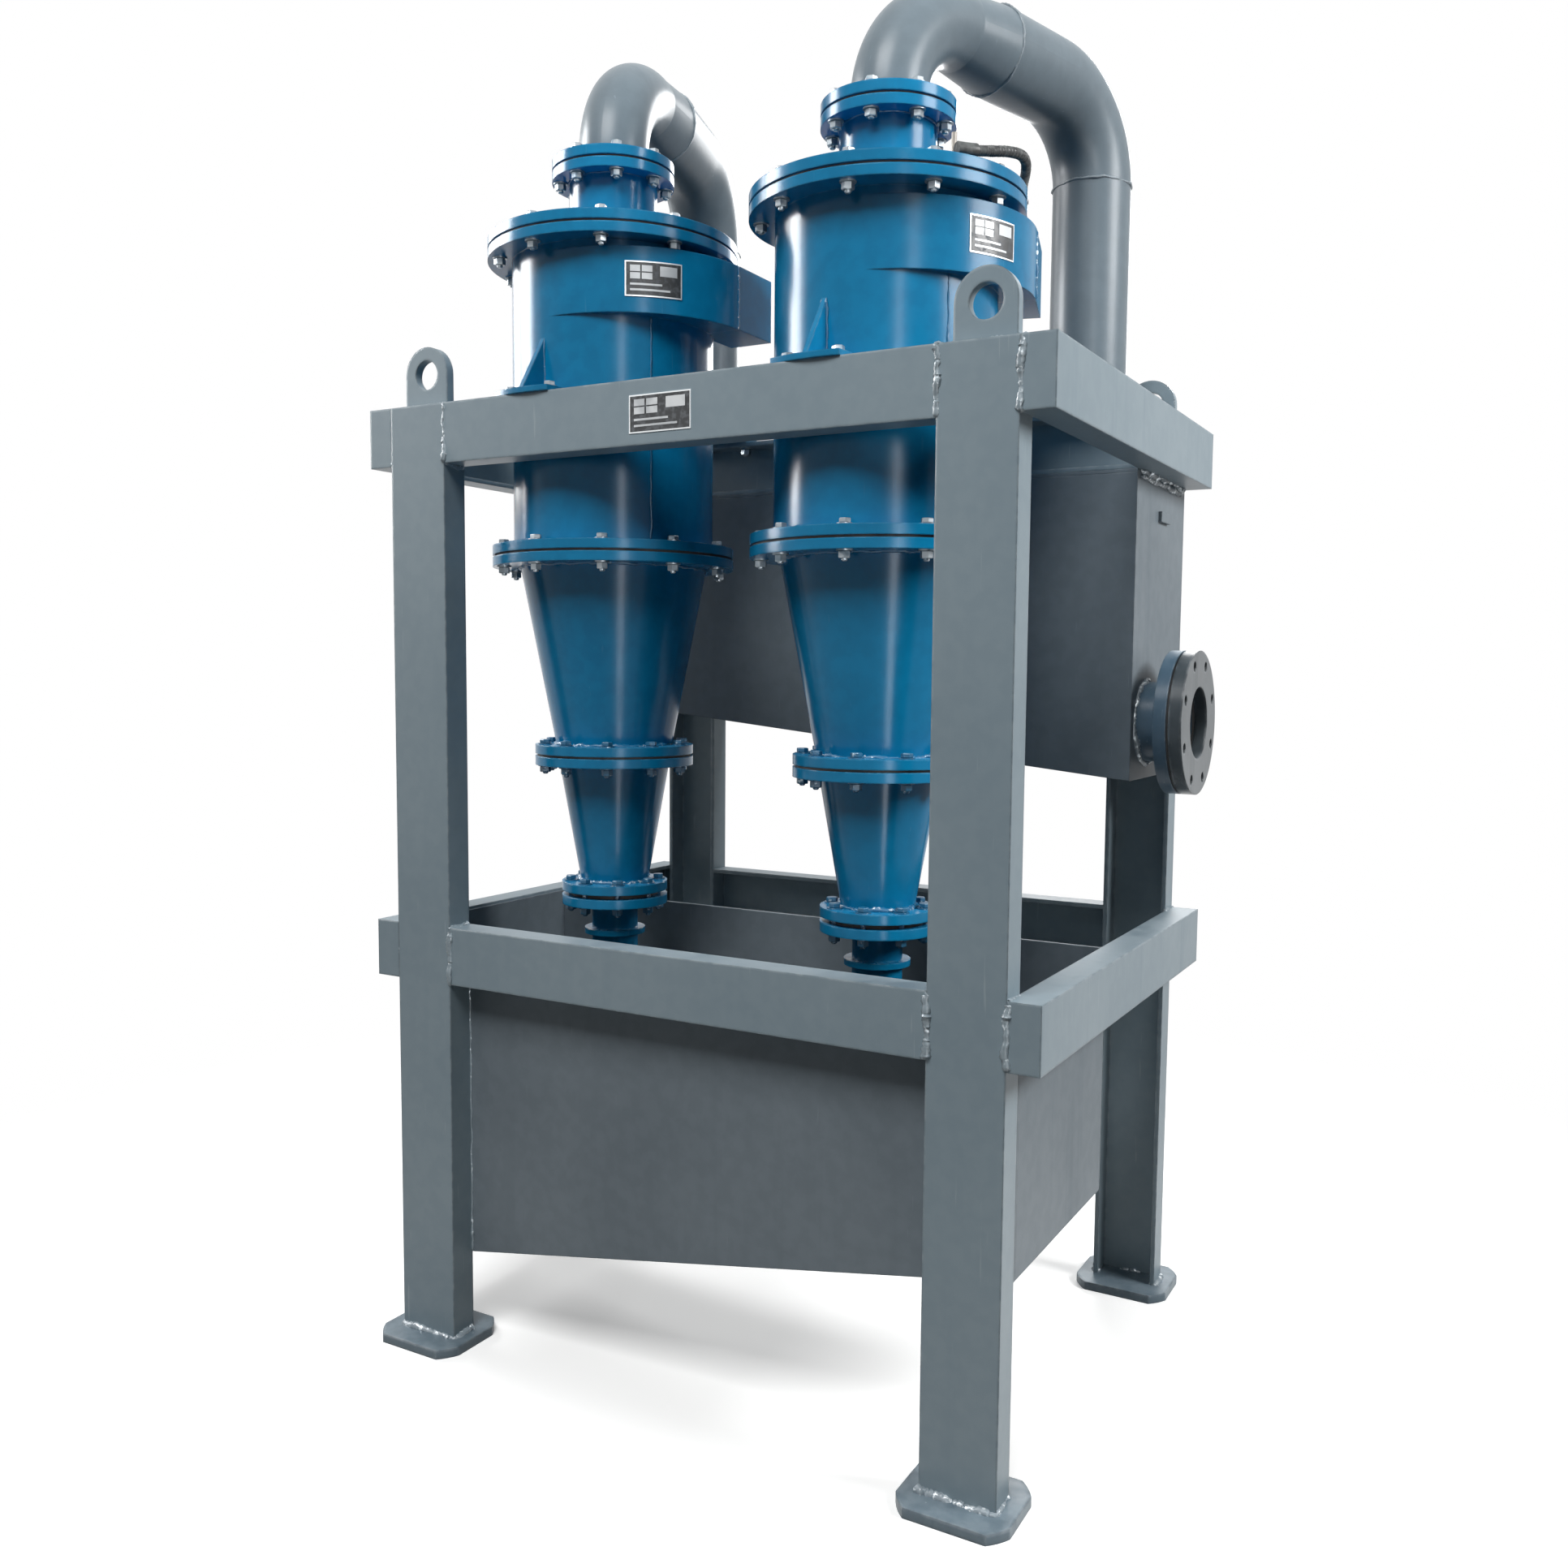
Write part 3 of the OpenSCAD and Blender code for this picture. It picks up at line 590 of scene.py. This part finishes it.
# Cyclone welds. Fillets round each neck, barrel and cone where they enter their flanges, most
# of them sprayed over; the runs on top of the lower flanges have shed paint and show white metal.
blue_weld = weld_finish("blue_weld", linear(12, 94, 132), linear(120, 168, 194), share=-0.08)
flaky_weld = weld_finish("flaky_weld", linear(20, 96, 134), linear(204, 214, 219), share=0.06)
scroll_low_z = 1.781
scroll_high_z = 1.886
scroll_reach = 0.228
scroll_run = 0.045
scroll_turn = {"left": 0.0, "right": math.radians(15.5)}
neck_r = 0.076
barrel_r = 0.174
cone_top_r = 0.1635
cone_foot_r = 0.1035
lower_cone_top_r = 0.0978
lower_cone_foot_r = 0.0600
seam_turn = math.radians(57.0)
gusset_half = 0.0045
gusset_reach = 0.224
gusset_high = 0.088


def hoop(centre, radius, height, size):
    """A weld run round an upright axis."""
    ring = ring_points((centre.x, centre.y, height), radius, (1, 0, 0), (0, 1, 0))
    return bead(ring, size, closed=True)


for side, axis in axes.items():
    lid_low, lid_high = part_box(f"{side}_lid")
    head_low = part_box(f"{side}_head")[0]
    upper_cone_low, upper_cone_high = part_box(f"{side}_upper_cone")
    lower_cone_low, lower_cone_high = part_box(f"{side}_lower_cone")
    sprayed = [
        hoop(axis, neck_r, lid_low.z + flange_t, size=0.0034),
        hoop(axis, neck_r, lid_high.z - flange_t, size=0.0030),
        hoop(axis, barrel_r, head_low.z + flange_t, size=0.0032),
        hoop(axis, cone_top_r, upper_cone_high.z - flange_t, size=0.0034),
        hoop(axis, lower_cone_top_r, lower_cone_high.z - flange_t, size=0.0030),
    ]
    # upright seam of the rolled barrel
    seam_x = axis.x + barrel_r*math.sin(seam_turn)
    seam_y = axis.y - barrel_r*math.cos(seam_turn)
    barrel_seam = [(seam_x, seam_y, z) for z in (head_low.z + flange_t, scroll_low_z)]
    sprayed.append(bead(barrel_seam, size=0.0020))
    # gusset on the support plate, both sides of its foot and back edge
    for offset in (-gusset_half, gusset_half):
        gusset_line = [
            (offset, -gusset_reach, support_top),
            (offset, -barrel_r, support_top),
            (offset, -barrel_r, support_top + gusset_high),
        ]
        sprayed.append(bead([axis + bracket_swing @ Vector(point) for point in gusset_line], size=0.0026))
    piece(f"{side}_sprayed_welds", sprayed, blue_weld, bead_angle)
    shed = [
        hoop(axis, cone_foot_r, upper_cone_low.z + flange_t, size=0.0046),
        hoop(axis, lower_cone_foot_r, lower_cone_low.z + flange_t, size=0.0056),
    ]
    # upright seam between the scroll and the straight duct
    duct_swing = Matrix.Rotation(scroll_turn[side], 3, "Z")
    duct_ends = [Vector((scroll_reach, scroll_run, z)) for z in (scroll_low_z, scroll_high_z)]
    shed.append(bead([axis + duct_swing @ end for end in duct_ends], size=0.0022))
    piece(f"{side}_flaky_welds", shed, flaky_weld, bead_angle)

# Data plates. Thin stamped metal plates, each with a bright rim, a dark face and pale blank fields,
# bent to the scrolls or laid flat on the front beam and fixed there.
plate_rim, rim_start = bare_finish("plate_rim")
rim_place = rim_start.node("TexCoord", out="Object")
rim_brush = rim_place.stretched((40.0, 40.0, 900.0)).noise(1.0)
show(rim_start, rim_start.node("BsdfPrincipled", {}, {
    "Base Color": rim_brush.blend(linear(190, 194, 196), linear(222, 225, 226)),
    "Roughness": 0.28 + rim_brush*0.2,
    "Metallic": 0.9 - rim_brush*0.1,
}))
plate_face, face_start = bare_finish("plate_face")
face_place = face_start.node("TexCoord", out="Object")
face_scuff = face_place.noise(140.0, 4.0).between(0.46, 0.66)
show(face_start, face_start.node("BsdfPrincipled", {}, {
    "Base Color": face_scuff.blend(linear(34, 37, 40), linear(66, 70, 74)),
    "Roughness": 0.34 + face_scuff*0.25,
    "Metallic": face_scuff*0.3,
}))
plate_field, field_start = bare_finish("plate_field")
field_place = field_start.node("TexCoord", out="Object")
field_scuff = field_place.noise(28.0, 2.0).between(0.40, 0.66)
show(field_start, field_start.node("BsdfPrincipled", {}, {
    "Base Color": field_scuff.blend(linear(176, 180, 183), linear(204, 207, 209)),
    "Roughness": 0.36 + field_scuff*0.2,
    "Metallic": 0.3 - field_scuff*0.2,
}))


def patch(surface, u0, u1, v0, v1, base, rise, columns=12):
    """A thin raised slab on a surface given by surface(u, v, height) with u and v in metres."""
    us = np.linspace(u0, u1, columns)
    rows = [(v0, base), (v0, rise), (v1, rise), (v1, base)]
    points = np.array([[surface(u, v, h) for v, h in rows] for u in us]).reshape(-1, 3)
    return points, tube_faces(columns, len(rows))


def data_plate(name, surface, width, height):
    """Rim, dark face and blank fields of one plate."""
    rim_w = 0.0022
    rim_base, rim_rise = -0.0040, 0.0012
    face_base, face_rise = 0.0002, 0.0016
    field_base, field_rise = 0.0010, 0.0019
    half_w = width/2
    half_h = height/2
    rim = patch(surface, -half_w, half_w, -half_h, half_h, rim_base, rim_rise)
    piece(f"{name}_rim", [rim], plate_rim)
    inner_w = half_w - rim_w
    inner_h = half_h - rim_w
    face = patch(surface, -inner_w, inner_w, -inner_h, inner_h, face_base, face_rise)
    piece(f"{name}_face", [face], plate_face)
    # left, right, low and high edge of each field as shares of the face's half sizes
    cells = [
        (-0.86, -0.50, 0.44, 0.82), (-0.44, -0.06, 0.44, 0.82), (0.22, 0.86, 0.20, 0.82),
        (-0.86, -0.50, -0.02, 0.36), (-0.44, -0.06, -0.02, 0.36),
        (-0.86, 0.30, -0.40, -0.28), (-0.86, 0.60, -0.74, -0.62),
    ]
    fields = []
    for left, right, low, high in cells:
        edges = (left*inner_w, right*inner_w, low*inner_h, high*inner_h)
        fields.append(patch(surface, *edges, field_base, field_rise))
    piece(f"{name}_fields", fields, plate_field)


def on_scroll(side, turn, height):
    """Surface of a scroll at a turn in degrees from its front, u running round it and v up."""
    off = (scroll_reach**2 - (scroll_run + barrel_r)**2)/(2*scroll_reach)
    radius = scroll_reach - off
    swing = scroll_turn[side]
    centre = Matrix.Rotation(swing, 3, "Z") @ Vector((off, scroll_run, 0.0)) + axes[side]

    def surface(u, v, rise):
        a = math.radians(turn) + u/radius + swing
        r = radius + rise
        return (centre.x + r*math.sin(a), centre.y - r*math.cos(a), height + v)

    return surface


def on_beam(x, z):
    """Front face of the upper front beam, u to the right and v up."""
    return lambda u, v, rise: (x + u, stand_front - rise, z + v)


data_plate("left_head_plate", on_scroll("left", turn=44.7, height=1.834), width=0.094, height=0.056)
data_plate("right_head_plate", on_scroll("right", turn=49.6, height=1.837), width=0.088, height=0.054)
data_plate("front_beam_plate", on_beam(x=-0.029, z=1.597), width=0.114, height=0.058)

# Overflow pipes. Mill-scale steel pipe and drawn elbows, butt-welded and sprayed grey; the
# flange on each neck is sprayed blue with the cyclone before the pipe is bolted down.
pipe_enamel = dict(
    fresh=linear(105, 118, 126), shade=linear(94, 106, 114), pale=linear(160, 171, 178),
    gloss=0.32, shine=0.28, grime=0.40, edge_width=0.002,
)
pipe_paint = painted("pipe_paint", **pipe_enamel)
dress([f"{side}_{part}" for side in ("left", "right") for part in ("drop_elbow", "drop_pipe")], pipe_paint)
neck_paint, neck_start = bare_finish("neck_elbow_paint")
neck_height = neck_start.node("SeparateXYZ", {}, {0: neck_start.node("TexCoord", out="Object")}, "Z")
neck_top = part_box("left_neck_elbow")[0].z + flange_t
blue_ends = 0.0005
grey_starts = 0.0015
show(neck_start, neck_start.node("MixShader", {}, {
    0: neck_height.between(neck_top + blue_ends, neck_top + grey_starts),
    1: enamel(neck_start, **blue_enamel),
    2: enamel(neck_start, **pipe_enamel),
}))
dress(["left_neck_elbow", "right_neck_elbow"], neck_paint)
pipe_weld = weld_finish("pipe_weld", linear(116, 127, 134), linear(170, 180, 186), share=-0.04)
elbow_r = 0.060
pipe_r = 0.070
seam_run = 0.250
pipe_runs = []
for side, axis in axes.items():
    drop_low, drop_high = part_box(f"{side}_drop_pipe")
    bend_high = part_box(f"{side}_drop_elbow")[1]
    drop = Vector(((drop_low.x + drop_high.x)/2, (drop_low.y + drop_high.y)/2, 0.0))
    course = (drop - axis).normalized()
    cross = course.cross(Vector((0, 0, 1)))
    level = bend_high.z - pipe_r
    seam = axis + course*seam_run + Vector((0, 0, level))
    pipe_runs.append(bead(ring_points(seam, pipe_r, cross, (0, 0, 1)), size=0.0024, closed=True))
    pipe_runs.append(hoop(drop, pipe_r, drop_high.z, size=0.0026))
    pipe_runs.append(hoop(drop, pipe_r, drop_low.z, size=0.0040))
    pipe_runs.append(hoop(axis, elbow_r, neck_top, size=0.0036))
piece("pipe_weld_beads", pipe_runs, pipe_weld, bead_angle)

# Lid hose and rod. A short ribbed hose lies over the right lid's rim: it starts in a boot that lies
# flat on the lid and bends down into an upright boot; a plain bare steel rod stands beside it.
rod_steel, rod_start = bare_finish("rod_steel")
rod_place = rod_start.node("TexCoord", out="Object")
rod_grain = rod_place.stretched((300.0, 300.0, 24.0)).noise(1.0)
rod_rust = rod_place.noise(60.0, 4.0).between(0.50, 0.68)
show(rod_start, rod_start.node("BsdfPrincipled", {}, {
    "Base Color": (rod_rust*0.6).blend(linear(126, 122, 117), linear(98, 82, 70)),
    "Roughness": 0.36 + rod_grain*0.2 + rod_rust*0.2,
    "Metallic": 0.7 - rod_rust*0.5,
}))
dress(["lid_rod"], rod_steel)
hose_plastic, hose_start = bare_finish("hose_plastic")
hose_place = hose_start.node("TexCoord", out="Object")
hose_dust = hose_place.noise(70.0, 4.0).between(0.42, 0.70)
hose_relief = {"Strength": 0.2, "Distance": 0.001, "Height": hose_place.noise(350.0)}
show(hose_start, hose_start.node("BsdfPrincipled", {}, {
    "Base Color": hose_dust.blend(linear(30, 33, 35), linear(82, 86, 86)),
    "Roughness": 0.45 + hose_dust*0.25,
    "Normal": hose_start.node("Bump", {}, hose_relief),
}))
hose_r = 0.008
rib_pitch = 0.0045
rib_depth = 0.0018
rib_angle = 50.0
boot_r = 0.0098
boot_len = 0.034
hose_count = 220
lid_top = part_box("right_lid")[0].z + flange_t
# turn round the lid from its front in degrees, distance from its axis, height over it
hose_stops = [
    (54.0, 0.203, 0.0100), (62.0, 0.206, 0.0110), (72.0, 0.207, 0.0180), (83.0, 0.208, 0.0280),
    (95.0, 0.210, 0.0370), (106.0, 0.211, 0.0410), (115.0, 0.212, 0.0380), (121.0, 0.212, 0.0290),
    (123.5, 0.211, 0.0170), (124.0, 0.2105, 0.0060),
]


def smooth_route(stops, count):
    """A curve through given points, as many steps as count."""
    stops = np.array(stops)
    padded = np.vstack([2*stops[0] - stops[1], stops, 2*stops[-1] - stops[-2]])
    route = []
    for place in np.linspace(0.0, len(stops) - 1.0, count):
        i = min(int(place), len(stops) - 2)
        t = place - i
        a, b, c, d = padded[i:i + 4]
        bend = (2*a - 5*b + 4*c - d)*t**2 + (3*b - a - 3*c + d)*t**3
        route.append(0.5*(2*b + (c - a)*t + bend))
    return np.array(route)


def swept(route, radii, outward, sides=14):
    """A round tube along a route with a radius for each step, its seam kept towards outward."""
    forward = np.gradient(route, axis=0)
    forward /= np.linalg.norm(forward, axis=1)[:, None]
    return tube(route, radii, forward, np.cross(forward, np.cross(outward, forward)), sides)


def on_lid(turn, distance, height):
    """A point over the right lid."""
    angle = math.radians(turn)
    flat = Vector((distance*math.sin(angle), -distance*math.cos(angle), lid_top + height))
    return axes["right"] + flat


hose_route = smooth_route([on_lid(*stop) for stop in hose_stops], hose_count)
hose_steps = np.linalg.norm(np.diff(hose_route, axis=0), axis=1)
hose_along = np.concatenate([[0.0], np.cumsum(hose_steps)])
ribs = hose_r - rib_depth*(0.5 - 0.5*np.cos(2*math.pi*hose_along/rib_pitch))
hose_outward = np.array((1.0, 0.0, 0.0))
boot_route = hose_route[hose_along < boot_len]
boot_radii = np.full(len(boot_route), boot_r)
boot_radii[[0, -1]] = hose_r
# radius and height of the upright boot, from its foot
boot_shape = [(0.0120, 0.0), (0.0120, 0.0050), (0.0104, 0.0062), (0.0104, 0.0270), (0.0090, 0.0300)]
hose_parts = [
    swept(hose_route, ribs, hose_outward),
    swept(boot_route, boot_radii, hose_outward),
    turned(boot_shape, sides=18, axis_point=on_lid(*hose_stops[-1][:2], 0.0)),
]
hose = piece("ribbed_hose", hose_parts, hose_plastic, rib_angle)
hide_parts("lid_hose")

# Studio. A pale floor that fades into a white surround, soft lamps on all four sides, the strongest
# high in front and on the right, and two strips that show only as glints in the paint.
floor_half = 9.0
floor_fade = (1.1, 2.4)
floor_corners = [(x*floor_half, y*floor_half, 0.0) for x, y in ((-1, -1), (1, -1), (1, 1), (-1, 1))]
floor_mesh = bpy.data.meshes.new("floor")
floor_mesh.from_pydata(floor_corners, [], [(0, 1, 2, 3)])
floor = bpy.data.objects.new("floor", floor_mesh)
bpy.context.scene.collection.objects.link(floor)
floor_finish, floor_start = bare_finish("pale_floor")
floor_place = floor_start.node("TexCoord", out="Object")
floor_clouds = floor_place.noise(1.5)
floor_reach = floor_start.node("VectorMath", {"operation": "LENGTH"}, {0: floor_place}, "Value")


def seen_rays(start):
    """1 for rays that show the background: straight from the picture, off gloss or through glass."""
    share = start.node("LightPath", out="Is Camera Ray")
    for kind in ("Is Glossy Ray", "Is Transmission Ray"):
        share = share.math("MAXIMUM", share, start.node("LightPath", out=kind))
    return share


floor_seen = seen_rays(floor_start)
floor_pale = floor_clouds.blend(linear(246, 246, 245), linear(250, 250, 249))
show(floor_start, floor_start.node("BsdfPrincipled", {}, {
    "Base Color": floor_seen.blend(linear(120, 120, 119), floor_pale),
    "Emission Color": floor_seen.blend((0.0, 0.0, 0.0, 1.0), (0.30, 0.30, 0.30, 1.0)),
    "Emission Strength": 1.0,
    "Roughness": 0.75 + floor_clouds*0.1,
    "Specular IOR Level": 0.1,
    "Alpha": 1.0 - floor_reach.between(*floor_fade),
}))
floor_mesh.materials.append(floor_finish)


def lamp(name, place, target, width, height, power, glint_only):
    """A soft rectangular lamp aimed at a point; a glint lamp shows only in gloss."""
    light = bpy.data.lights.new(name, "AREA")
    light.shape = "RECTANGLE"
    light.size = width
    light.size_y = height
    light.energy = power
    holder = bpy.data.objects.new(name, light)
    holder.location = place
    holder.visible_diffuse = not glint_only
    holder.visible_camera = False
    holder.rotation_euler = (Vector(target) - Vector(place)).to_track_quat("-Z", "Y").to_euler()
    bpy.context.scene.collection.objects.link(holder)


# name, place, point aimed at, width, height, power, and whether it shows only in gloss
lamps = [
    ("right_lamp", (3.7, 0.25, 3.2), (0.1, 0.0, 1.3), 1.5, 1.5, 150.0, False),
    ("front_lamp", (0.3, -3.1, 5.0), (0.0, -0.2, 1.5), 2.4, 2.0, 215.0, False),
    ("left_lamp", (-4.2, 0.6, 2.8), (0.0, 0.0, 1.2), 1.6, 1.6, 80.0, False),
    ("back_lamp", (-0.6, 4.2, 3.4), (0.0, 0.0, 1.2), 1.8, 1.8, 130.0, False),
    ("left_strip", (-3.0, -0.9, 2.7), (-0.2, -0.2, 1.7), 1.0, 2.0, 190.0, True),
    ("front_strip", (2.3, -2.8, 0.9), (0.0, -0.2, 0.9), 0.45, 4.0, 60.0, True),
]
for lamp_values in lamps:
    lamp(*lamp_values)

surround = bpy.data.worlds.new("surround")
surround.use_nodes = True
surround.node_tree.nodes.clear()
sky = Wire(surround.node_tree)
ambient = 0.08
sky_strength = ambient + seen_rays(sky)*(1.0 - ambient)
sky_light = sky.node("Background", {}, {"Color": (1.0, 1.0, 1.0, 1.0), "Strength": sky_strength})
sky.node("OutputWorld", {}, {"Surface": sky_light})
bpy.context.scene.world = surround
bpy.context.scene.view_settings.view_transform = "Standard"
